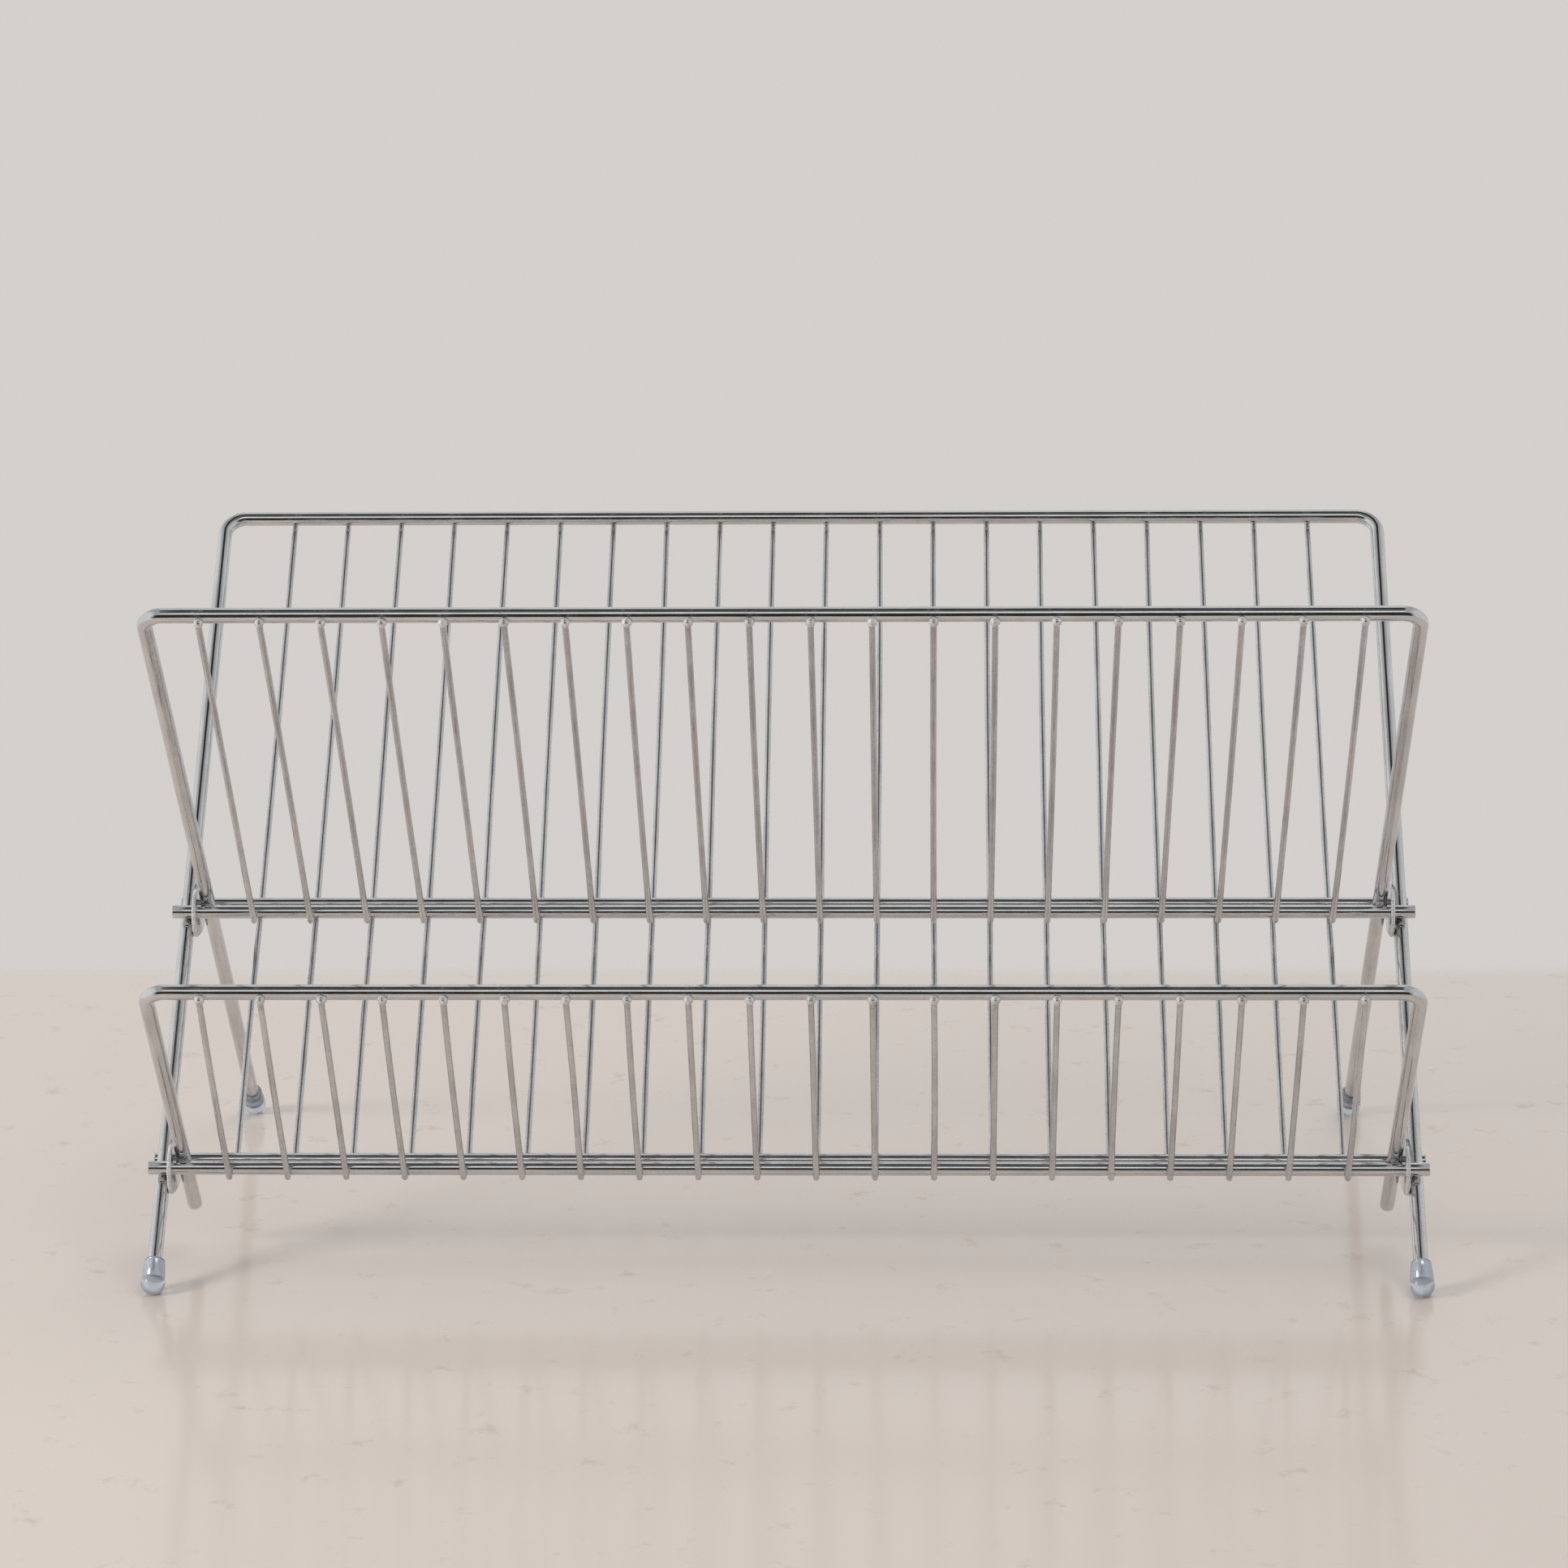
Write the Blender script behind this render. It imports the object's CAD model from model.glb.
"""Looks of the folding wire dish rack: smooth chromed wire, weld beads and soft foot caps.

Every wire is rebuilt as a smooth tube on the axis of the CAD part that it stands for.  The axes
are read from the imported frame, so the pieces need no fitting.  Units are metres and degrees.
"""
import math
import random

import bmesh
import bpy
import numpy as np
from mathutils import Matrix, Vector, noise


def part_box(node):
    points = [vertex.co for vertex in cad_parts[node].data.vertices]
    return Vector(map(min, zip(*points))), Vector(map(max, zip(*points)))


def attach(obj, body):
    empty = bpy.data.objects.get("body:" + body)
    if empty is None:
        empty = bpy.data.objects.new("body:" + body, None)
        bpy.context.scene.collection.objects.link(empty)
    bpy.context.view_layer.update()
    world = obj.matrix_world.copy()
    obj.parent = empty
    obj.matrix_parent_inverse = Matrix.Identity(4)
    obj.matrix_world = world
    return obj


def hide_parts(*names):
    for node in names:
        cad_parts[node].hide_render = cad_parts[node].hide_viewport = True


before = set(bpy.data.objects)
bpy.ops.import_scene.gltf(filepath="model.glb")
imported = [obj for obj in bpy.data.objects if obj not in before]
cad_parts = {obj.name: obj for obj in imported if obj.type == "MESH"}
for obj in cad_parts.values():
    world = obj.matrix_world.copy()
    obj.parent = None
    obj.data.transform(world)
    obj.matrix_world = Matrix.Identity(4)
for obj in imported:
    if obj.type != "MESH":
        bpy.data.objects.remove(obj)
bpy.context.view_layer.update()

# ---------------------------------------------------------------- sizes
MM = 0.001
WIRE_R = 2.8 * MM           # bent frame wire
ROD_R = 2.6 * MM            # straight cross rod
SLAT_R = 1.2 * MM           # thin slat
BACK_BEND_R = 8.5 * MM      # corner bends on the wire's middle line
FRONT_BEND_R = 7.0 * MM
PAIRS = 10                  # slat pairs on each frame

WIRE_SIDES = 40
SLAT_SIDES = 18
BEND_STEPS = 14
RING_STEP = 6 * MM          # rings along a straight run
WELD_REACH = 5 * MM         # rings are closer, and wear shows, this near a weld
WELD_STEP = 1 * MM
WEAR_SPREAD = 0.6 * WELD_REACH
RING_GAP = 0.3 * MM         # rings inside a run are no closer than this
CUT_EASE = 0.12             # a cut end's broken edge, as a share of the radius
TIP_STEPS = 7
SHARP_ANGLE = 50
SLAT_BOW = 0.35 * MM        # slats are never quite straight
SLAT_BOW_STEPS = 8
NUB_R = 1.75 * MM           # swollen end of a slat, squeezed as it was welded to the front bars
NUB_OUT = 0.35 * MM         # its middle, from the slat's axis towards the bar
NUB_SPREAD = (0.95, 1.1)    # its smallest and largest half sizes, as shares of NUB_R

# weld beads and burrs, in millimetres: smallest and largest half length, half width and half
# height, then smallest and largest offset from the contact, or in RISE from the plate's face
SLAT_BEAD = ((1.3, 1.9), (1.2, 1.5), (0.5, 0.8))
LEG_BEAD = ((1.8, 2.6), (1.6, 2.2), (0.9, 1.3))
LEG_BEAD_ASIDE = (1.2, 1.9)
LEG_BEAD_ALONG = (-1, 1)
PLATE_BEAD = ((1.3, 2.4), (0.8, 1.4), (0.6, 1.0))
PLATE_BEAD_ALONG = (-0.6, 0.6)
PLATE_BEAD_ASIDE = (1.0, 1.7)
PLATE_BEAD_RISE = (0.1, 0.5)
BURR = ((0.36, 0.56), (0.62, 0.80), (0.16, 0.34))
BEAD_LUMPS = ((0.16, 1.7), (0.07, 5.0))     # height and fineness of large and small lumps
BEAD_SEEDS = 90             # noise offsets are drawn from 0 to this
BEAD_WEAR = 0.75
NUB_WEAR = 0.5
BURR_WEAR = 0.2
BEAD_IN = 1.0 * MM          # a leg's outer weld beads sit in by this, clear of the hinge plates
PLATE_BEADS = 9             # places for beads along a leg, at each edge of a plate's contact
PLATE_BEAD_STEP = 2.3 * MM
PLATE_BEAD_GAPS = 0.25      # share of those places left bare
RIM_TURN = 75               # how far round a plate's front its burred rim goes, each way
RIM_SAME = 0.01 * MM        # rim points closer than this are one vertex
BURR_STEP = 0.9 * MM

CAP_SIDES = 64
CAP_TOP_R = 3.9 * MM
CAP_FOOT_R = 4.6 * MM
CAP_RISE = 9.4 * MM         # from the middle of its dome to its rim
CAP_RIM = 0.45 * MM
CAP_LIP_OUT = 0.35 * MM     # the rim's inner edge, from the wire
CAP_LIP_IN = 0.05 * MM      # the lip below it, which closes on the wire
CAP_LIP_DROP = 0.3 * MM
CAP_DOME_OUT = 1.5 * MM     # how far past its leg's end the middle of the dome is
CAP_SWELL = 0.05 * MM
CAP_TAPER_SHARE = 0.93      # share of the rise that the wall's taper is spread over
CAP_RIPPLE = 0.012          # share of the radius
CAP_RIPPLE_SCALE = 400
CAP_DOME_STEPS = 14
CAP_WALL_STEPS = 13
CAP_RIM_STEPS = 6

# camera: in front, a little to the right, looking down
CAMERA_AT = (0.0537, -1.901, 0.6165)
CAMERA_YAW = 1.70
CAMERA_PITCH = 13.38
CAMERA_ROLL = 0.448
CAMERA_LENS = 116.2
SENSOR = 36.0

# floor: a table top, whose front edge shows in the wires' reflections
FLOOR_FRONT = -0.85
FLOOR_BACK = 0.335
FLOOR_HALF = 0.95
FLOOR_FADE = 0.03           # the far edge melts into the backdrop
TABLE_COLOUR = (0.65, 0.575, 0.523)
TABLE_FLECK = (0.545, 0.46, 0.405)
TABLE_ROUGHNESS = 0.13
TABLE_SPECULAR = 0.45

# light: a small warm key low on the left, and a broad soft fill overhead
LIGHTS_AIM = (0, 0, 0.05)
KEY_AT = (-1.9, -0.95, 1.0)
KEY_SIZE = (0.6, 0.6)
KEY_POWER = 26.0
KEY_COLOUR = (1.0, 0.985, 0.96)
FILL_AT = (0.5, 0.1, 2.0)
FILL_SIZE = (1.6, 1.2)
FILL_POWER = 14.0
FILL_COLOUR = (1.0, 1.0, 1.0)

# the plating's faults
DRAWN_COLOUR = (0.22, 0.21, 0.20)
DRAWN_GAIN = 3.2            # share of that colour in the deepest lines, per unit of streak
DRAWN_SCALE = (26.0, 55.0, 1.0)     # of the lines' noise: round the wire, and per metre along it
PIT_COLOUR = (0.10, 0.085, 0.075)
PIT_RELIEF = -2.5
RUST_COLOUR = (0.16, 0.075, 0.035)
RUST_ROUGHNESS = 0.6
CLEAN_ROUGHNESS = 0.03

ALONG_X = Vector((1, 0, 0))


# ---------------------------------------------------------------- axes read from the frame
def points_of(node):
    """A CAD node's vertices as an array."""
    return np.array([v.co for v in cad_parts[node].data.vertices], float)


def frame_corners(node, leans_back, round_ends=False):
    """Left end, left corner, right corner and right end of a bent wire's middle line."""
    lo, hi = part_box(node)
    bar_y = hi.y - WIRE_R if leans_back else lo.y + WIRE_R
    bar_z = hi.z - WIRE_R
    lean = math.radians(45)
    for _ in range(8):      # the ends depend on the lean, and the lean on the ends
        off_y = WIRE_R if round_ends else WIRE_R * math.sin(lean)
        off_z = WIRE_R if round_ends else WIRE_R * math.cos(lean)
        end_y = lo.y + off_y if leans_back else hi.y - off_y
        end_z = lo.z + off_z
        lean = math.atan2(bar_z - end_z, abs(bar_y - end_y))
    co = points_of(node)
    foot = float(np.abs(co[co[:, 2] < lo.z + 2 * WIRE_R, 0]).mean())
    bar = hi.x - WIRE_R
    return [
        Vector((-foot, end_y, end_z)),
        Vector((-bar, bar_y, bar_z)),
        Vector((bar, bar_y, bar_z)),
        Vector((foot, end_y, end_z)),
    ]


def rod_axis(node):
    """The two ends of a straight cross rod's axis."""
    lo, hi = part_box(node)
    middle = (lo + hi) / 2
    return [Vector((lo.x, middle.y, middle.z)), Vector((hi.x, middle.y, middle.z))]


def slat_axis(node, side):
    """Top, bend (where the slat has one) and bottom of one slat's axis, tip to tip."""
    co = points_of(node)
    co = np.unique(np.round(co[co[:, 0] * side > 0], 7), axis=0)
    near = 3 * MM
    is_top = co[:, 2] > co[:, 2].max() - near
    is_low = co[:, 2] < co[:, 2].min() + near
    knots = [co[is_top].mean(0), co[is_low].mean(0)]
    if (~is_top & ~is_low).any():
        knots.insert(1, co[~is_top & ~is_low].mean(0))
    for end, inner in ((0, 1), (-1, -2)):
        out = knots[end] - knots[inner]
        out /= np.linalg.norm(out)
        reach = ((co - knots[end]) @ out).max()
        knots[end] = knots[end] + out * reach
    return [Vector(k) for k in knots]


def beside(axis, rod):
    """Point on an axis nearest to a rod that runs along X, the way to it, and the axis's way."""
    best = None
    for a, b in zip(axis, axis[1:]):
        along = Vector((0, b.y - a.y, b.z - a.z))
        to = Vector((0, rod.y - a.y, rod.z - a.z))
        share = min(1.0, max(0.0, to.dot(along) / along.length_squared))
        point = a.lerp(b, share)
        way = Vector((0, rod.y - point.y, rod.z - point.z))
        if best is None or way.length < best[1].length:
            best = (point, way, (b - a).normalized())
    return best


# ---------------------------------------------------------------- tubes
def rounded_route(knots, bend_r):
    """Points along straight runs that are joined by circular bends."""
    route = [knots[0]]
    for before, corner, after in zip(knots, knots[1:], knots[2:]):
        back = (before - corner).normalized()
        on = (after - corner).normalized()
        half = back.angle(on) / 2
        start = corner + back * (bend_r / math.tan(half))
        centre = corner + (back + on).normalized() * (bend_r / math.sin(half))
        turn = math.pi - 2 * half
        axis = (corner - start).cross(on).normalized()
        for i in range(BEND_STEPS + 1):
            spin = Matrix.Rotation(turn * i / BEND_STEPS, 3, axis)
            route.append(centre + spin @ (start - centre))
    return route + [knots[-1]]


def with_rings(route, welds):
    """The same route with more points: every RING_STEP, and closer beside welds."""
    reach = round(WELD_REACH / WELD_STEP)
    out = [route[0]]
    for a, b in zip(route, route[1:]):
        run = (b - a).length
        steps = math.ceil(run / RING_STEP)
        stops = {i / steps for i in range(1, steps + 1)}
        for weld in welds:
            at = (weld - a).dot(b - a) / run
            for k in range(-reach, reach + 1):
                stop = (at + k * WELD_STEP) / run
                if 0.0 < stop < 1.0:
                    stops.add(stop)
        last = 0.0
        for stop in sorted(stops):
            if (stop - last) * run > RING_GAP or stop == 1.0:
                out.append(a.lerp(b, stop))
                last = stop
    return out


def end_rings(radius, kind):
    """Offsets past a tube's end and radii there: a cut with a broken edge, or a rounded tip."""
    if kind == "cut":
        ease = CUT_EASE * radius
        return [(0.0, radius), (0.4 * ease, radius - 0.15 * ease), (ease, radius - ease)]
    turns = [k * math.pi / 2 / TIP_STEPS for k in range(TIP_STEPS)]
    return [(radius * math.sin(turn), radius * math.cos(turn)) for turn in turns]


class Skin:
    """Vertices, faces, UVs and wear of one piece while it is built."""

    def __init__(self):
        self.verts, self.faces, self.uvs, self.wear = [], [], [], []

    def ring(self, centre, u_axis, v_axis, radius, sides, wear):
        first = len(self.verts)
        for i in range(sides):
            a = 2 * math.pi * i / sides
            self.verts.append(centre + (u_axis * math.cos(a) + v_axis * math.sin(a)) * radius)
            self.wear.append(wear)
        return first

    def bridge(self, low, high, sides, v_low, v_high):
        for i in range(sides):
            j = (i + 1) % sides
            self.faces.append((low + i, low + j, high + j, high + i))
            u0, u1 = i / sides, (i + 1) / sides
            self.uvs += [(u0, v_low), (u1, v_low), (u1, v_high), (u0, v_high)]

    def cap(self, ring, sides, centre, v, wear, flip):
        tip = len(self.verts)
        self.verts.append(centre)
        self.wear.append(wear)
        for i in range(sides):
            j = (i + 1) % sides
            face = (ring + j, ring + i, tip) if flip else (ring + i, ring + j, tip)
            self.faces.append(face)
            self.uvs += [(i / sides, v), ((i + 1) / sides, v), (0.5, v)]

    def finish(self, name, material):
        mesh = bpy.data.meshes.new(name)
        mesh.from_pydata([tuple(v) for v in self.verts], [], self.faces)
        layer = mesh.uv_layers.new(name="along")
        layer.data.foreach_set("uv", np.array(self.uvs, np.float32).ravel())
        wear = mesh.attributes.new("wear", "FLOAT", "POINT")
        wear.data.foreach_set("value", np.array(self.wear, np.float32))
        mesh.polygons.foreach_set("use_smooth", [True] * len(mesh.polygons))
        mesh.set_sharp_from_angle(angle=math.radians(SHARP_ANGLE))
        mesh.materials.append(material)
        obj = bpy.data.objects.new(name, mesh)
        bpy.context.scene.collection.objects.link(obj)
        return obj


def wear_at(point, welds):
    """1 at a weld, falling to 0 a few millimetres away."""
    nearest = min(((point - w).length for w in welds), default=1.0)
    return math.exp(-((nearest / WEAR_SPREAD) ** 2))


def add_tube(skin, route, radius, sides, kind, welds):
    """Sweep a circle along a route, closed at both ends."""
    route = with_rings(route, welds)
    ways = [(b - a).normalized() for a, b in zip(route, route[1:])]
    tangents = [ways[0]] + [(p + q).normalized() for p, q in zip(ways, ways[1:])] + [ways[-1]]
    side = tangents[0].orthogonal().normalized()
    length = 0.0
    rings = []
    tips = end_rings(radius, kind)
    inset = tips[-1][0] if kind == "cut" else radius
    for k, (point, way) in enumerate(zip(route, tangents)):
        side = (side - way * side.dot(way)).normalized()
        up = way.cross(side)
        if k:
            length += (point - route[k - 1]).length
        if k == 0:
            for out, r in reversed(tips):
                at = point + way * (inset - out)
                rings.append((skin.ring(at, side, up, r, sides, wear_at(at, welds)), -out))
        elif k == len(route) - 1:
            for out, r in tips:
                at = point - way * (inset - out)
                rings.append((skin.ring(at, side, up, r, sides, wear_at(at, welds)), length + out))
        elif inset < (point - route[0]).length and inset < (point - route[-1]).length:
            wear = wear_at(point, welds)
            rings.append((skin.ring(point, side, up, radius, sides, wear), length))
    for (low, v_low), (high, v_high) in zip(rings, rings[1:]):
        skin.bridge(low, high, sides, v_low, v_high)
    skin.cap(rings[0][0], sides, route[0], 0.0, wear_at(route[0], welds), True)
    skin.cap(rings[-1][0], sides, route[-1], length, wear_at(route[-1], welds), False)


def bowed(axis, rng):
    """A slat's axis with a slight random bow between its ends."""
    out = [axis[0]]
    for a, b in zip(axis, axis[1:]):
        sway = Vector((rng.uniform(-1, 1), 0, 0)) * SLAT_BOW
        for i in range(1, SLAT_BOW_STEPS):
            s = i / SLAT_BOW_STEPS
            out.append(a.lerp(b, s) + sway * math.sin(math.pi * s))
        out.append(b)
    return out


# ---------------------------------------------------------------- weld beads
def bead_size(rng, limits):
    """Half length, half width and half height, drawn between limits in millimetres."""
    return [rng.uniform(low, high) * MM for low, high in limits]


def add_bead(skin, at, along, across, size, seed, wear=BEAD_WEAR):
    """A lumpy ellipsoid of metal: size is its half length, half width and half height."""
    ball = bmesh.new()
    bmesh.ops.create_icosphere(ball, subdivisions=3, radius=1.0)
    along = along.normalized()
    normal = along.cross(across).normalized()
    across = normal.cross(along)
    first = len(skin.verts)
    (large, coarse), (small, fine) = BEAD_LUMPS
    for v in ball.verts:
        lump = 1 + large * noise.noise(v.co * coarse + Vector((seed, 3.1 * seed, 0)))
        lump += small * noise.noise(v.co * fine + Vector((0, seed, 2.3 * seed)))
        p = v.co * lump
        out = along * p.x * size[0] + across * p.y * size[1] + normal * p.z * size[2]
        skin.verts.append(at + out)
        skin.wear.append(wear)
    for face in ball.faces:
        skin.faces.append(tuple(first + v.index for v in face.verts))
        skin.uvs += [(0.5 + v.co.x * 0.1, v.co.y * 0.002) for v in face.verts]
    ball.free()


# ---------------------------------------------------------------- material nodes
def new_material(name):
    material = bpy.data.materials.new(name)
    material.use_nodes = True
    nodes, links = material.node_tree.nodes, material.node_tree.links
    return material, nodes, links, nodes["Principled BSDF"]


def node(nodes, kind, inputs=None, **settings):
    made = nodes.new(kind)
    for key, value in settings.items():
        setattr(made, key, value)
    for key, value in (inputs or {}).items():
        made.inputs[key].default_value = value
    return made


def ramp(nodes, stops):
    """A colour ramp through (position, colour) stops; a single number is a grey."""
    made = nodes.new("ShaderNodeValToRGB")
    elements = made.color_ramp.elements
    while len(elements) < len(stops):
        elements.new(0.5)
    for element, (at, colour) in zip(elements, stops):
        element.position = at
        element.color = (colour, colour, colour, 1) if isinstance(colour, float) else (*colour, 1)
    return made


def mix_colour(nodes, links, share, a, b):
    """Mix two colours or sockets by a socket."""
    made = node(nodes, "ShaderNodeMix", data_type="RGBA")
    links.new(share, made.inputs["Factor"])
    for key, value in ((6, a), (7, b)):
        if isinstance(value, tuple):
            made.inputs[key].default_value = (*value, 1)
        else:
            links.new(value, made.inputs[key])
    return made.outputs[2]


def chrome(name, bright, dull, pit_scale, streak, rust, metal=1.0):
    """Bright plating on drawn wire: faint streaks and grain, pits, dull patches, rust at welds.

    bright and dull are the colours of its patches, and pit_scale is how fine its pits are.
    streak and rust are how strongly the drawing lines and the rust show.  A metal below 1 makes
    a less metallic surface, which shows its own colour in soft light.
    """
    material, nodes, links, shader = new_material(name)
    place = node(nodes, "ShaderNodeTexCoord")

    patches = node(nodes, "ShaderNodeTexNoise", {"Scale": 45.0, "Detail": 4.0, "Roughness": 0.6})
    links.new(place.outputs["Object"], patches.inputs["Vector"])
    tone = ramp(nodes, [(0.35, dull), (0.62, bright)])
    links.new(patches.outputs["Fac"], tone.inputs["Fac"])

    stretch = node(nodes, "ShaderNodeMapping")
    stretch.inputs["Scale"].default_value = DRAWN_SCALE
    links.new(place.outputs["UV"], stretch.inputs["Vector"])
    lines = node(nodes, "ShaderNodeTexNoise", {"Scale": 1.0, "Detail": 3.0, "Roughness": 0.55})
    links.new(stretch.outputs["Vector"], lines.inputs["Vector"])

    cells = node(nodes, "ShaderNodeTexVoronoi", {"Scale": pit_scale, "Randomness": 1.0})
    links.new(place.outputs["Object"], cells.inputs["Vector"])
    spots = ramp(nodes, [(0.05, 1.0), (0.13, 0.0)])
    links.new(cells.outputs["Distance"], spots.inputs["Fac"])
    some = node(nodes, "ShaderNodeTexNoise", {"Scale": 120.0, "Detail": 2.0})
    links.new(place.outputs["Object"], some.inputs["Vector"])
    rare = ramp(nodes, [(0.52, 0.0), (0.62, 1.0)])
    links.new(some.outputs["Fac"], rare.inputs["Fac"])
    pits = node(nodes, "ShaderNodeMath", operation="MULTIPLY")
    links.new(spots.outputs["Color"], pits.inputs[0])
    links.new(rare.outputs["Color"], pits.inputs[1])

    wear = node(nodes, "ShaderNodeAttribute", attribute_name="wear")
    grime = node(nodes, "ShaderNodeTexNoise", {"Scale": 520.0, "Detail": 5.0, "Roughness": 0.7})
    links.new(place.outputs["Object"], grime.inputs["Vector"])
    grit = ramp(nodes, [(0.50, 0.0), (0.70, 1.0)])
    links.new(grime.outputs["Fac"], grit.inputs["Fac"])
    stained = node(nodes, "ShaderNodeMath", operation="MULTIPLY")
    links.new(grit.outputs["Color"], stained.inputs[0])
    links.new(wear.outputs["Fac"], stained.inputs[1])
    stain = node(nodes, "ShaderNodeMath", {1: rust}, operation="MULTIPLY")
    links.new(stained.outputs[0], stain.inputs[0])

    grain = node(nodes, "ShaderNodeTexNoise", {"Scale": 1800.0, "Detail": 2.0})
    links.new(place.outputs["Object"], grain.inputs["Vector"])
    streaks = node(nodes, "ShaderNodeMath", operation="ADD")
    links.new(lines.outputs["Fac"], streaks.inputs[0])
    links.new(grain.outputs["Fac"], streaks.inputs[1])
    drawn = node(
        nodes,
        "ShaderNodeMapRange",
        {"From Min": 0.75, "From Max": 1.1, "To Min": DRAWN_GAIN * streak, "To Max": 0.0},
    )
    links.new(streaks.outputs[0], drawn.inputs["Value"])
    plain = tone.outputs["Color"]
    marked = mix_colour(nodes, links, drawn.outputs["Result"], plain, DRAWN_COLOUR)
    pitted = mix_colour(nodes, links, pits.outputs[0], marked, PIT_COLOUR)
    rusty = mix_colour(nodes, links, stain.outputs[0], pitted, RUST_COLOUR)
    links.new(rusty, shader.inputs["Base Color"])

    plated = node(nodes, "ShaderNodeMath", {0: metal}, operation="SUBTRACT", use_clamp=True)
    links.new(stain.outputs[0], plated.inputs[1])
    links.new(plated.outputs[0], shader.inputs["Metallic"])

    gloss = node(
        nodes,
        "ShaderNodeMapRange",
        {"To Min": CLEAN_ROUGHNESS, "To Max": CLEAN_ROUGHNESS + streak},
    )
    links.new(lines.outputs["Fac"], gloss.inputs["Value"])
    rough = node(nodes, "ShaderNodeMath", {1: RUST_ROUGHNESS}, operation="MULTIPLY_ADD")
    links.new(stain.outputs[0], rough.inputs[0])
    links.new(gloss.outputs["Result"], rough.inputs[2])
    links.new(rough.outputs[0], shader.inputs["Roughness"])

    relief = node(nodes, "ShaderNodeMath", {1: PIT_RELIEF}, operation="MULTIPLY_ADD")
    links.new(pits.outputs[0], relief.inputs[0])
    links.new(lines.outputs["Fac"], relief.inputs[2])
    bump = node(nodes, "ShaderNodeBump", {"Strength": 0.12, "Distance": 0.00012})
    links.new(relief.outputs[0], bump.inputs["Height"])
    links.new(bump.outputs["Normal"], shader.inputs["Normal"])
    return material


def pvc():
    """Clear bluish soft plastic, a little cloudy, with faint moulding ripples."""
    material, nodes, links, shader = new_material("foot_pvc")
    place = node(nodes, "ShaderNodeTexCoord")
    cloud = node(nodes, "ShaderNodeTexNoise", {"Scale": 260.0, "Detail": 4.0, "Roughness": 0.6})
    links.new(place.outputs["Object"], cloud.inputs["Vector"])
    tint = ramp(nodes, [(0.30, (0.72, 0.80, 0.91)), (0.70, (0.82, 0.87, 0.95))])
    links.new(cloud.outputs["Fac"], tint.inputs["Fac"])
    links.new(tint.outputs["Color"], shader.inputs["Base Color"])
    gloss = node(nodes, "ShaderNodeMapRange", {"To Min": 0.12, "To Max": 0.22})
    links.new(cloud.outputs["Fac"], gloss.inputs["Value"])
    links.new(gloss.outputs["Result"], shader.inputs["Roughness"])
    ripple = node(nodes, "ShaderNodeTexNoise", {"Scale": 900.0, "Detail": 3.0})
    links.new(place.outputs["Object"], ripple.inputs["Vector"])
    bump = node(nodes, "ShaderNodeBump", {"Strength": 0.05, "Distance": 0.0001})
    links.new(ripple.outputs["Fac"], bump.inputs["Height"])
    links.new(bump.outputs["Normal"], shader.inputs["Normal"])
    shader.inputs["Transmission Weight"].default_value = 0.77
    shader.inputs["IOR"].default_value = 1.45
    return material


FRAME_CHROME = chrome(
    "frame_chrome", (0.72, 0.725, 0.735), (0.62, 0.625, 0.635), 900.0, streak=0.07, rust=0.55
)
SLAT_CHROME = chrome(
    "slat_chrome", (0.74, 0.745, 0.755), (0.60, 0.605, 0.615), 1100.0, streak=0.12, rust=0.60
)
WELD_CHROME = chrome(
    "weld_chrome", (0.66, 0.66, 0.66), (0.42, 0.41, 0.40), 1500.0, streak=0.20, rust=0.80
)
NUB_CHROME = chrome(
    "nub_chrome", (0.88, 0.88, 0.88), (0.70, 0.69, 0.68), 1300.0, streak=0.14, rust=0.45, metal=0.50
)
PLATE_CHROME = chrome(
    "plate_chrome",
    (0.76, 0.765, 0.775),
    (0.58, 0.585, 0.595),
    1000.0,
    streak=0.10,
    rust=0.30,
    metal=0.75,
)
BURR_CHROME = chrome(
    "burr_chrome",
    (0.92, 0.92, 0.92),
    (0.80, 0.80, 0.80),
    1500.0,
    streak=0.10,
    rust=0.20,
    metal=0.45,
)
PVC = pvc()


# ---------------------------------------------------------------- the rack
def finish_piece(skin, name, material, body, slot, *nodes):
    """Make a skin's object, which rides on a body and stands for the CAD nodes given."""
    piece = skin.finish(name, material)
    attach(piece, body)
    if nodes:
        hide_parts(*nodes)


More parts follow.
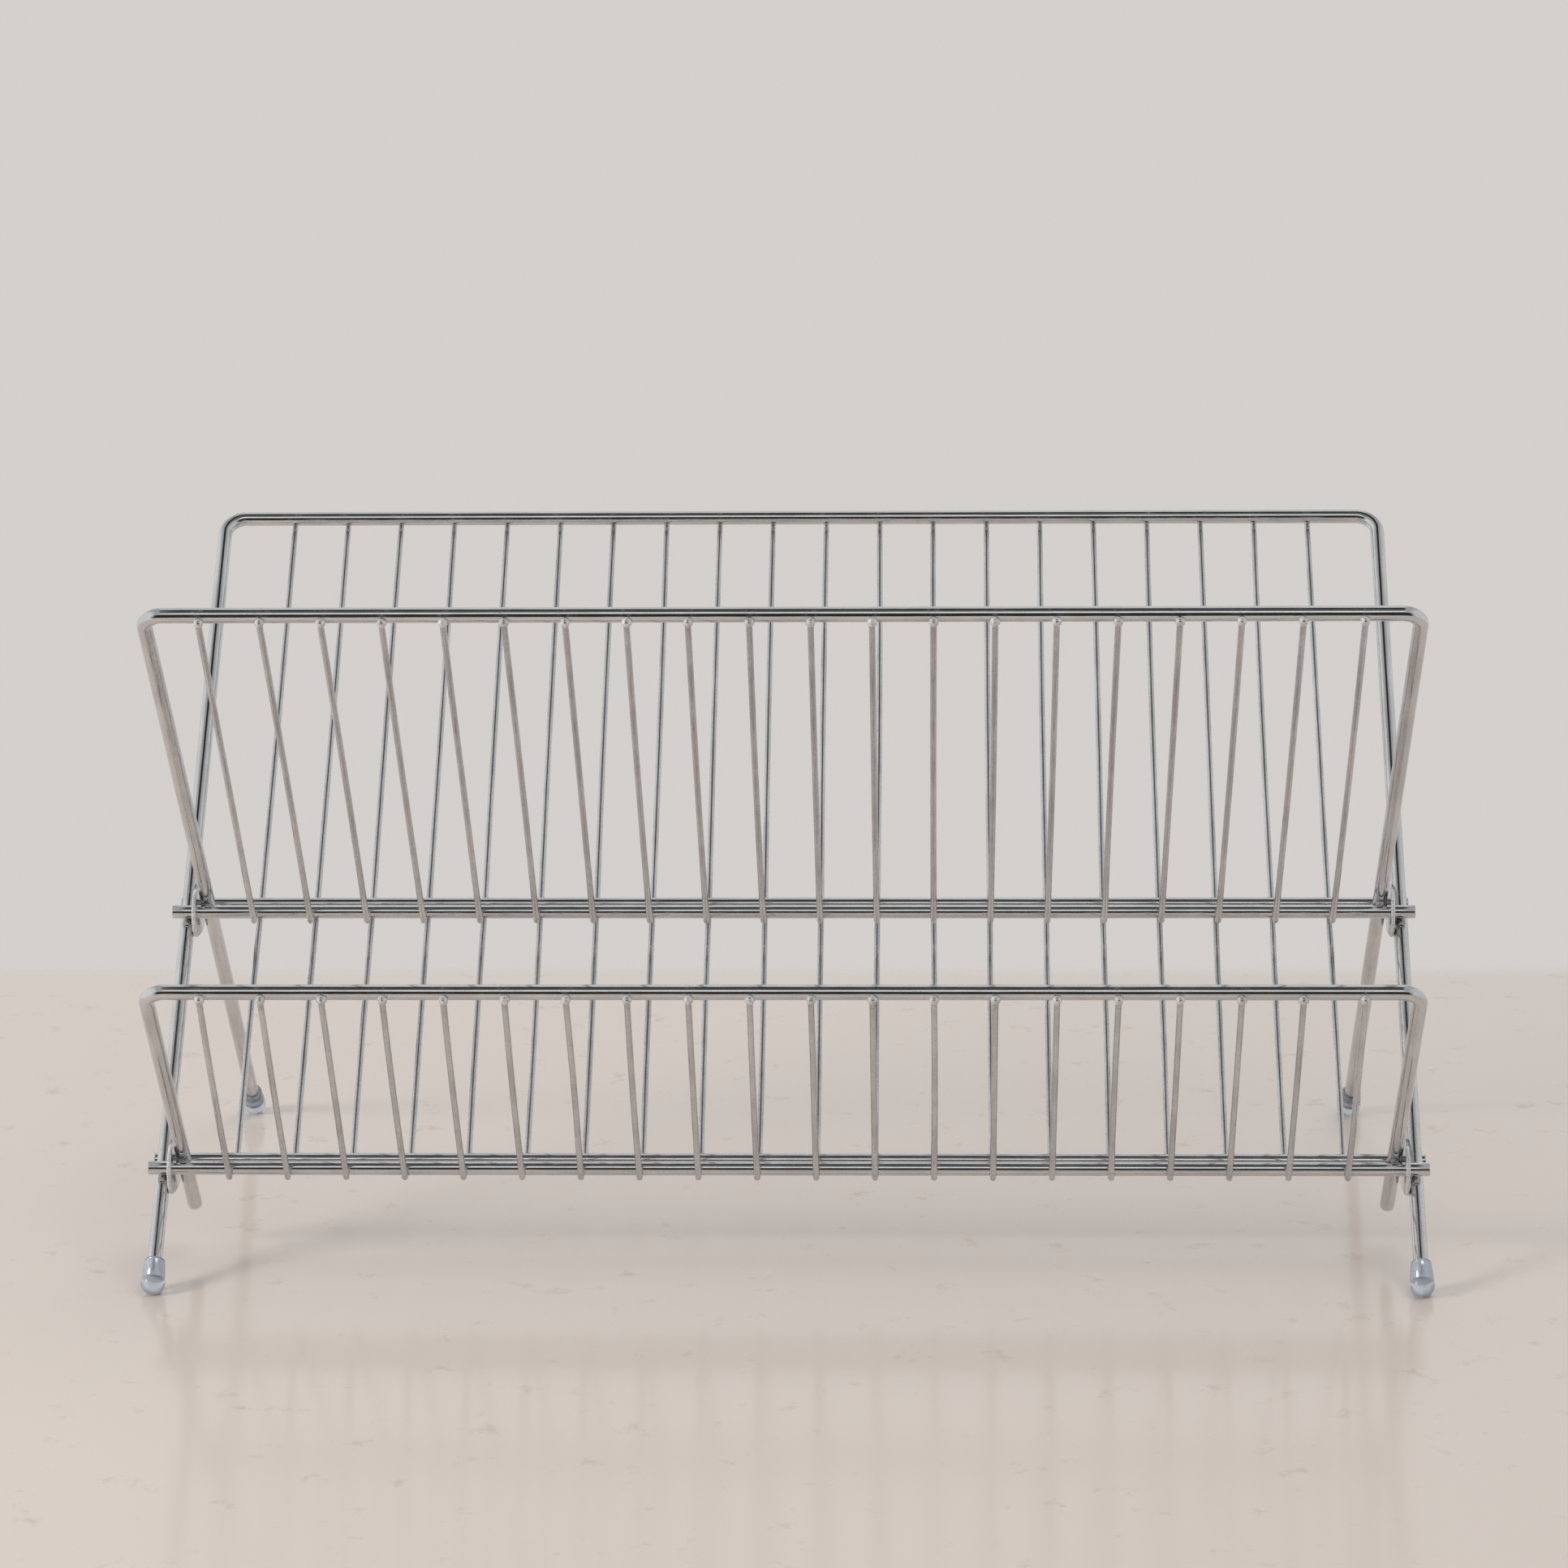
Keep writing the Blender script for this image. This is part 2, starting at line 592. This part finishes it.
def make_frame(kind, leans_back, bend_r, round_ends, rods, seed):
    """One bent wire with its rods, slats and weld beads, all riding on one body.

    Returns the corners of the wire's middle line, where the plates and caps are placed.
    """
    body = f"{kind}_frame"
    wire = f"{kind}_frame_wire"
    corners = frame_corners(wire, leans_back, round_ends)
    rng = random.Random(seed)
    bar = corners[1]
    rod_lines = [rod_axis(rod) for rod in rods]
    beads, nubs = Skin(), Skin()
    on_bar, on_rods = [], [[] for _ in rods]

    for pair in range(1, PAIRS + 1):
        name = f"{kind}_slats_{pair:02d}"
        slats = Skin()
        for side in (-1, 1):
            axis = slat_axis(name, side)
            touches = []
            for target, radius, marks in [(bar, WIRE_R, on_bar)] + [
                (line[0], ROD_R, on_rods[k]) for k, line in enumerate(rod_lines)
            ]:
                point, way, along = beside(axis, target)
                contact = point + way * (SLAT_R / (SLAT_R + radius))
                touches.append(point)
                marks.append(contact)
                size = bead_size(rng, SLAT_BEAD)
                add_bead(beads, contact, along, ALONG_X, size, rng.uniform(0, BEAD_SEEDS))
            if kind != "long":
                down = axis[1] - axis[0]
                tip = axis[0] + down.normalized() * NUB_R
                toward = Vector((0, bar.y - tip.y, bar.z - tip.z)).normalized()
                size = [NUB_R * rng.uniform(*NUB_SPREAD) for _ in range(3)]
                spot = tip + toward * NUB_OUT
                add_bead(nubs, spot, down, ALONG_X, size, rng.uniform(0, BEAD_SEEDS), NUB_WEAR)
            add_tube(slats, bowed(axis, rng), SLAT_R, SLAT_SIDES, "round", touches)
        finish_piece(slats, f"{name}_drawn", SLAT_CHROME, body, "slat_chrome", name)

    legs = []
    for foot, corner in ((corners[0], corners[1]), (corners[3], corners[2])):
        for line in rod_lines:
            point, way, along = beside([corner, foot], line[0])
            contact = point + way * (WIRE_R / (WIRE_R + ROD_R))
            legs.append(contact)
            for k in (-1, 1):
                size = bead_size(rng, LEG_BEAD)
                aside = Vector((k * rng.uniform(*LEG_BEAD_ASIDE) * MM, 0, 0))
                spot = contact + aside + along * rng.uniform(*LEG_BEAD_ALONG) * MM
                if k * foot.x > 0:
                    spot.x -= k * BEAD_IN
                add_bead(beads, spot, ALONG_X, along, size, rng.uniform(0, BEAD_SEEDS))

    tube = Skin()
    ends = "round" if round_ends else "cut"
    add_tube(tube, rounded_route(corners, bend_r), WIRE_R, WIRE_SIDES, ends, on_bar + legs)
    finish_piece(tube, f"{wire}_drawn", FRAME_CHROME, body, "frame_chrome", wire)
    for rod, line, marks in zip(rods, rod_lines, on_rods):
        skin = Skin()
        add_tube(skin, line, ROD_R, WIRE_SIDES, "cut", marks + legs)
        finish_piece(skin, f"{rod}_drawn", FRAME_CHROME, body, "frame_chrome", rod)
    finish_piece(beads, f"{kind}_frame_welds", WELD_CHROME, body, "frame_chrome")
    if nubs.verts:
        finish_piece(nubs, f"{kind}_frame_nubs", NUB_CHROME, body, "slat_chrome")
    return corners


def front_rim(node):
    """Points spaced along a plate's front rim, halfway through its thickness, top to bottom."""
    co = points_of(node)[:, 1:]
    rim = []
    for turn in range(-RIM_TURN, RIM_TURN + 1):
        way = (-math.cos(math.radians(turn)), -math.sin(math.radians(turn)))
        point = co[(co @ way).argmax()]
        if not rim or np.linalg.norm(point - rim[-1]) > RIM_SAME:
            rim.append(point)
    lo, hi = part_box(node)
    spaced, due = [], 0.0
    for a, b in zip(rim, rim[1:]):
        run = np.linalg.norm(b - a)
        while due < run:
            y, z = a + (b - a) * due / run
            spaced.append(Vector(((lo.x + hi.x) / 2, y, z)))
            due += BURR_STEP
        due -= run
    return spaced


def add_burrs(skin, node, rng):
    """The ragged bright rim that the stamping left along the front of a plate."""
    rim = front_rim(node)
    for at, after in zip(rim, rim[1:]):
        size = bead_size(rng, BURR)
        add_bead(skin, at, after - at, ALONG_X, size, rng.uniform(0, BEAD_SEEDS), BURR_WEAR)


def make_plates(corners):
    """Better metal on the hinge plates, and weld beads along the leg that each one sits on."""
    rng = random.Random(71)
    beads, burrs = Skin(), Skin()
    for level in ("upper", "lower"):
        for name, side, foot, corner in (
            ("left", -1, corners[0], corners[1]),
            ("right", 1, corners[3], corners[2]),
        ):
            plate = f"hinge_plate_{level}_{name}"
            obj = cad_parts[plate]
            obj.material_slots[0].material = PLATE_CHROME
            add_burrs(burrs, plate, rng)
            lo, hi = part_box(plate)
            middle = (lo + hi) / 2
            along = (corner - foot).normalized()
            on_leg = foot + along * (middle - foot).dot(along)
            face = hi.x if side > 0 else lo.x
            out = Vector((0, -along.z, along.y))
            for k in range(PLATE_BEADS):
                step = (k - PLATE_BEADS // 2) * PLATE_BEAD_STEP
                for edge in (-1, 1):
                    if rng.random() < PLATE_BEAD_GAPS:
                        continue
                    at = on_leg + along * (step + rng.uniform(*PLATE_BEAD_ALONG) * MM)
                    at += out * edge * rng.uniform(*PLATE_BEAD_ASIDE) * MM
                    at.x = face + side * rng.uniform(*PLATE_BEAD_RISE) * MM
                    size = bead_size(rng, PLATE_BEAD)
                    add_bead(beads, at, along, out, size, rng.uniform(0, BEAD_SEEDS))
    finish_piece(beads, "hinge_plate_welds", WELD_CHROME, "long_frame", "hinge_steel")
    finish_piece(burrs, "hinge_plate_burrs", BURR_CHROME, "long_frame", "hinge_steel")


def cap_profile():
    """Half section of a foot cap, (up the leg, radius), from the tip of its dome to its rim."""
    dome = [
        (-CAP_FOOT_R * math.cos(a), CAP_FOOT_R * math.sin(a))
        for a in (math.pi / 2 * k / CAP_DOME_STEPS for k in range(1, CAP_DOME_STEPS + 1))
    ]
    wall = []
    for k in range(1, CAP_WALL_STEPS):
        s = k / CAP_WALL_STEPS
        swell = CAP_SWELL * math.sin(math.pi * s) ** 2
        radius = CAP_FOOT_R + (CAP_TOP_R - CAP_FOOT_R) * s + swell
        wall.append((CAP_RISE * s * CAP_TAPER_SHARE, radius))
    rim = [
        (CAP_RISE - CAP_RIM + CAP_RIM * math.sin(a), CAP_TOP_R - CAP_RIM + CAP_RIM * math.cos(a))
        for a in (math.pi / 2 * k / CAP_RIM_STEPS for k in range(CAP_RIM_STEPS + 1))
    ]
    rim += [(CAP_RISE, WIRE_R + CAP_LIP_OUT), (CAP_RISE - CAP_LIP_DROP, WIRE_R + CAP_LIP_IN)]
    return dome + wall + rim


def make_cap(node_name, body, foot, knee, seed):
    """A soft cap on a leg's end, closed round the wire and flat where it stands on the floor."""
    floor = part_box(node_name)[0].z
    along = (knee - foot).normalized()
    dome = foot - along * CAP_DOME_OUT
    side = (ALONG_X - along * ALONG_X.dot(along)).normalized()
    up = along.cross(side)
    skin = Skin()
    rings = []
    profile = cap_profile()
    for at, radius in profile:
        ripple = 1 + CAP_RIPPLE * noise.noise(Vector((at * CAP_RIPPLE_SCALE, seed, 0)))
        rings.append((skin.ring(dome + along * at, side, up, radius * ripple, CAP_SIDES, 0.0), at))
    for (low, v0), (high, v1) in zip(rings, rings[1:]):
        skin.bridge(low, high, CAP_SIDES, v0, v1)
    skin.cap(rings[0][0], CAP_SIDES, dome - along * CAP_FOOT_R, 0.0, 0.0, True)
    skin.cap(rings[-1][0], CAP_SIDES, dome + along * profile[-1][0], 0.0, 0.0, False)
    for v in skin.verts:
        v.z = max(v.z, floor)
    finish_piece(skin, f"{node_name}_soft", PVC, body, "foot_pvc", node_name)


long_corners = make_frame(
    "long", True, BACK_BEND_R, False, ["upper_rear_rod", "lower_rear_rod"], 11
)
upper_corners = make_frame("upper", False, FRONT_BEND_R, False, ["upper_front_rod"], 23)
make_frame("lower", False, FRONT_BEND_R, True, ["lower_front_rod"], 37)
make_plates(long_corners)
make_cap("foot_cap_front_left", "long_frame", long_corners[0], long_corners[1], 1.0)
make_cap("foot_cap_front_right", "long_frame", long_corners[3], long_corners[2], 2.0)
make_cap("foot_cap_rear_left", "upper_frame", upper_corners[0], upper_corners[1], 3.0)
make_cap("foot_cap_rear_right", "upper_frame", upper_corners[3], upper_corners[2], 4.0)


# ---------------------------------------------------------------- floor, light and camera
def make_stage():
    """A pale, glossy table top with a few faint flecks."""
    mesh = bpy.data.meshes.new("table")
    corners = [(-1, FLOOR_FRONT), (1, FLOOR_FRONT), (1, FLOOR_BACK), (-1, FLOOR_BACK)]
    mesh.from_pydata([(side * FLOOR_HALF, y, 0.0) for side, y in corners], [], [(0, 1, 2, 3)])
    obj = bpy.data.objects.new("table", mesh)
    bpy.context.scene.collection.objects.link(obj)
    material, nodes, links, shader = new_material("table")
    place = node(nodes, "ShaderNodeTexCoord")
    speck = node(nodes, "ShaderNodeTexNoise", {"Scale": 55.0, "Detail": 5.0, "Roughness": 0.7})
    links.new(place.outputs["Object"], speck.inputs["Vector"])
    few = ramp(nodes, [(0.60, 0.0), (0.72, 1.0)])
    links.new(speck.outputs["Fac"], few.inputs["Fac"])
    colour = mix_colour(nodes, links, few.outputs["Color"], TABLE_COLOUR, TABLE_FLECK)
    links.new(colour, shader.inputs["Base Color"])
    depth = node(nodes, "ShaderNodeSeparateXYZ")
    links.new(place.outputs["Object"], depth.inputs[0])
    fade = node(
        nodes,
        "ShaderNodeMapRange",
        {"From Min": FLOOR_BACK - FLOOR_FADE, "From Max": FLOOR_BACK, "To Min": 1.0, "To Max": 0.0},
        interpolation_type="SMOOTHSTEP",
    )
    links.new(depth.outputs["Y"], fade.inputs["Value"])
    links.new(fade.outputs["Result"], shader.inputs["Alpha"])
    shader.inputs["Roughness"].default_value = TABLE_ROUGHNESS
    shader.inputs["Specular IOR Level"].default_value = TABLE_SPECULAR
    obj.data.materials.append(material)


def area_light(name, at, size, power, colour):
    """A rectangular light aimed at the rack, hidden from glossy rays."""
    light = bpy.data.lights.new(name, "AREA")
    light.shape = "RECTANGLE"
    light.size, light.size_y = size
    light.energy = power
    light.color = colour
    obj = bpy.data.objects.new(name, light)
    obj.location = at
    obj.rotation_euler = (Vector(LIGHTS_AIM) - Vector(at)).to_track_quat("-Z", "Y").to_euler()
    obj.visible_glossy = False
    bpy.context.scene.collection.objects.link(obj)


# What the wires mirror, by angle round the rack's long axis: 0 level in front, 90 overhead, 180
# level behind.  Each entry is an angle in degrees and a brightness.
ROOM = [
    (-180, 0.62),
    (-60, 0.30),
    (-35, 0.06),            # a dark room in front
    (-14, 0.035),
    (21, 0.03),
    (28, 0.40),
    (32, 1.00),             # a bright strip
    (44, 1.00),
    (49, 0.25),
    (55, 0.13),
    (75, 0.13),
    (78, 0.03),             # a dark strip overhead
    (100, 0.03),
    (106, 0.70),            # a pale wall behind
    (150, 0.74),
    (180, 0.64),
]
WALL_COLOUR = (0.655, 0.630, 0.608)     # the plain backdrop that the camera sees
OVERHEAD = 0.46             # above, but away from the middle, where the dark strip has ended
OVERHEAD_FROM = 0.14        # shares of the way to the side
OVERHEAD_TO = 0.32
OVERHEAD_LOW = 0.30         # shares of the way up
OVERHEAD_HIGH = 0.60
ROOM_LEFT = 0.85            # the room's ends, seen by the sides of the legs
ROOM_RIGHT = 0.70
ROOM_END_FROM = 0.45        # where the ends take over, as a share of the way to the side
ROOM_END_TO = 0.80


def grey(level):
    """A neutral colour."""
    return (level, level, level)


def make_world():
    """Room of soft strips for the metal to mirror, behind a plain pale backdrop."""
    world = bpy.data.worlds.new("room")
    world.use_nodes = True
    nodes, links = world.node_tree.nodes, world.node_tree.links
    background = nodes["Background"]
    place = node(nodes, "ShaderNodeTexCoord")
    split = node(nodes, "ShaderNodeSeparateXYZ")
    links.new(place.outputs["Generated"], split.inputs[0])
    front = node(nodes, "ShaderNodeMath", {1: -1.0}, operation="MULTIPLY")
    links.new(split.outputs["Y"], front.inputs[0])
    angle = node(nodes, "ShaderNodeMath", operation="ARCTAN2")
    links.new(split.outputs["Z"], angle.inputs[0])
    links.new(front.outputs[0], angle.inputs[1])
    share = node(nodes, "ShaderNodeMapRange", {"From Min": -math.pi, "From Max": math.pi})
    links.new(angle.outputs[0], share.inputs["Value"])
    bands = ramp(nodes, [(0.5 + at / 360, level) for at, level in ROOM])
    links.new(share.outputs["Result"], bands.inputs["Fac"])

    aside = node(nodes, "ShaderNodeMath", operation="ABSOLUTE")
    links.new(split.outputs["X"], aside.inputs[0])
    off = node(
        nodes,
        "ShaderNodeMapRange",
        {"From Min": OVERHEAD_FROM, "From Max": OVERHEAD_TO},
        interpolation_type="SMOOTHSTEP",
    )
    links.new(aside.outputs[0], off.inputs["Value"])
    high = node(nodes, "ShaderNodeMapRange", {"From Min": OVERHEAD_LOW, "From Max": OVERHEAD_HIGH})
    links.new(split.outputs["Z"], high.inputs["Value"])
    above = node(nodes, "ShaderNodeMath", operation="MULTIPLY")
    links.new(off.outputs["Result"], above.inputs[0])
    links.new(high.outputs["Result"], above.inputs[1])
    lit = mix_colour(nodes, links, above.outputs[0], bands.outputs["Color"], grey(OVERHEAD))
    for sign, level in ((-1.0, ROOM_LEFT), (1.0, ROOM_RIGHT)):
        way = node(nodes, "ShaderNodeMath", {1: sign}, operation="MULTIPLY")
        links.new(split.outputs["X"], way.inputs[0])
        end = node(
            nodes,
            "ShaderNodeMapRange",
            {"From Min": ROOM_END_FROM, "From Max": ROOM_END_TO},
            interpolation_type="SMOOTHSTEP",
        )
        links.new(way.outputs[0], end.inputs["Value"])
        lit = mix_colour(nodes, links, end.outputs["Result"], lit, grey(level))

    seen = node(nodes, "ShaderNodeLightPath")
    plain = mix_colour(nodes, links, seen.outputs["Is Camera Ray"], lit, WALL_COLOUR)
    links.new(plain, background.inputs["Color"])
    bpy.context.scene.world = world


def make_camera():
    """The camera, turned left by its yaw, then tipped down, then rolled."""
    data = bpy.data.cameras.new("camera")
    data.lens = CAMERA_LENS
    data.sensor_width = SENSOR
    obj = bpy.data.objects.new("camera", data)
    turn = Matrix.Rotation(math.radians(CAMERA_YAW), 4, "Z")
    tip = Matrix.Rotation(math.radians(90 - CAMERA_PITCH), 4, "X")
    roll = Matrix.Rotation(math.radians(-CAMERA_ROLL), 4, "Z")
    obj.matrix_world = Matrix.Translation(CAMERA_AT) @ turn @ tip @ roll
    bpy.context.scene.collection.objects.link(obj)
    bpy.context.scene.camera = obj


make_stage()
make_world()
area_light("key", KEY_AT, KEY_SIZE, KEY_POWER, KEY_COLOUR)
area_light("fill", FILL_AT, FILL_SIZE, FILL_POWER, FILL_COLOUR)
make_camera()
bpy.context.scene.view_settings.view_transform = "Standard"
